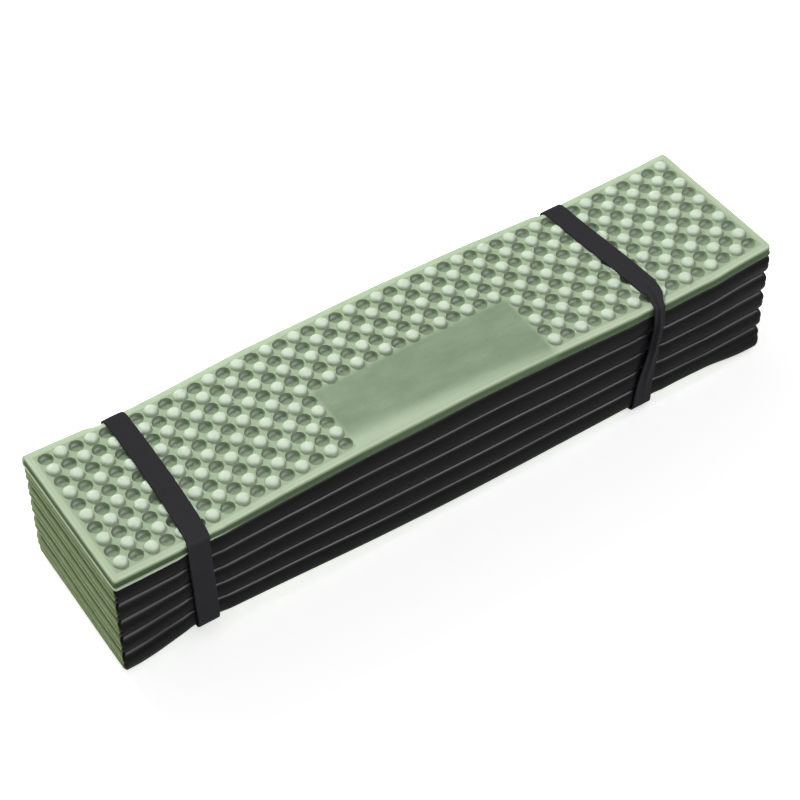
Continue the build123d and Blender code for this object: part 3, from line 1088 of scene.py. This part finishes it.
    # bar tacks: zigzag rows of thread
    tv, tf = [], []
    for z0 in (HEIGHT / 2 - 13, HEIGHT / 2 + 13):
        xm = float(np.interp(z0, [zb2 + 3.5, zt2 - 9.0], [x_back, x_t]))
        count = 22
        for i in range(count):
            xa = xm - 6.5 + 13.0 * i / count
            xe = xa + 13.0 / count
            za, ze = (z0 - 1.1, z0 + 1.1) if i % 2 == 0 else (z0 + 1.1, z0 - 1.1)
            n_t, r = 6, 0.19
            q0 = len(tv)
            for s_ in range(5):
                f = s_ / 4
                cx, cz = xa + (xe - xa) * f, za + (ze - za) * f
                cy = y_b + 1.5 * STRAP_T + 0.10 + 0.16 * math.sin(math.pi * f)
                for a_ in range(n_t):
                    an = 2 * math.pi * a_ / n_t
                    tv.append((cx + r * math.cos(an), cy + r * math.sin(an), cz))
            for s_ in range(4):
                for a_ in range(n_t):
                    b_ = (a_ + 1) % n_t
                    tf.append((q0 + s_ * n_t + a_, q0 + s_ * n_t + b_, q0 + (s_ + 1) * n_t + b_, q0 + (s_ + 1) * n_t + a_))
            for s_ in (0, 4):
                cap = [q0 + s_ * n_t + a_ for a_ in range(n_t)]
                if s_ == 0:
                    cap = cap[::-1]
                tf.append((cap[0], cap[1], cap[2], cap[3]))
                tf.append((cap[0], cap[3], cap[4], cap[5]))
    tv, tf = np.array(tv), np.array(tf)
    ob = make_mesh(f"{side}_loop_bar_tacks", tv, outward(tv, tf), {})
    settle(ob, f"{side}_strap", f"{side}_strap_stitching", THREAD)


for side in ("left", "right"):
    strap(side)

# ---- camera, floor and light ----------------------------------------------------------
cam = bpy.data.cameras.new("camera")
cam.lens = 108
cam.sensor_width = 36
cam.clip_end = 50
cam_ob = bpy.data.objects.new("camera", cam)
bpy.context.scene.collection.objects.link(cam_ob)
cam_ob.matrix_world = Matrix((
    (0.835439, 0.416157, -0.358963, -0.65358),
    (-0.548991, 0.601629, -0.580216, -1.03941),
    (-0.025498, 0.681803, 0.731092, 1.36599),
    (0, 0, 0, 1)))
bpy.context.scene.camera = cam_ob

floor_mesh = bpy.data.meshes.new("floor")
floor_mesh.from_pydata([(-9, -9, 0), (9, -9, 0), (9, 9, 0), (-9, 9, 0)], [], [(0, 1, 2, 3)])
floor = bpy.data.objects.new("floor", floor_mesh)
floor.location.z = -0.0006
bpy.context.scene.collection.objects.link(floor)
fm, fnt, fb = new_material("pale_floor")
fb.inputs["Base Color"].default_value = (0.93, 0.93, 0.93, 1)
fb.inputs["Roughness"].default_value = 0.9
fb.inputs["Specular IOR Level"].default_value = 0.1
fb.inputs["Emission Color"].default_value = (1, 1, 1, 1)
fb.inputs["Emission Strength"].default_value = 0.60
floor_mesh.materials.append(fm)

world = bpy.data.worlds.new("studio")
bpy.context.scene.world = world
world.use_nodes = True
bg = world.node_tree.nodes.get("Background") or world.node_tree.nodes.new("ShaderNodeBackground")
bg.inputs["Color"].default_value = (1, 1, 1, 1)
bg.inputs["Strength"].default_value = 0.44


def area(name, at, target, size, power, color=(1, 1, 1)):
    light = bpy.data.lights.new(name, "AREA")
    light.shape = "DISK"
    light.size = size
    light.energy = power
    light.color = color
    ob = bpy.data.objects.new(name, light)
    ob.location = at
    ob.rotation_euler = (Vector(target) - Vector(at)).to_track_quat("-Z", "Y").to_euler()
    bpy.context.scene.collection.objects.link(ob)
    return ob


area("key", (-0.2, 1.9, 1.9), (0, 0, 0.05), 0.6, 64)
shine = area("shine", (0.85, -0.95, 1.95), (0, 0, 0.05), 1.2, 560)
shine.visible_diffuse = False
end_shine = area("end_shine", (-0.2, -1.48, 1.75), (-0.3, -0.08, 0.05), 0.9, 170, (0.93, 0.95, 1.0))
end_shine.visible_diffuse = False
bpy.context.scene.view_settings.view_transform = "Standard"
bpy.context.scene.view_settings.look = "None"
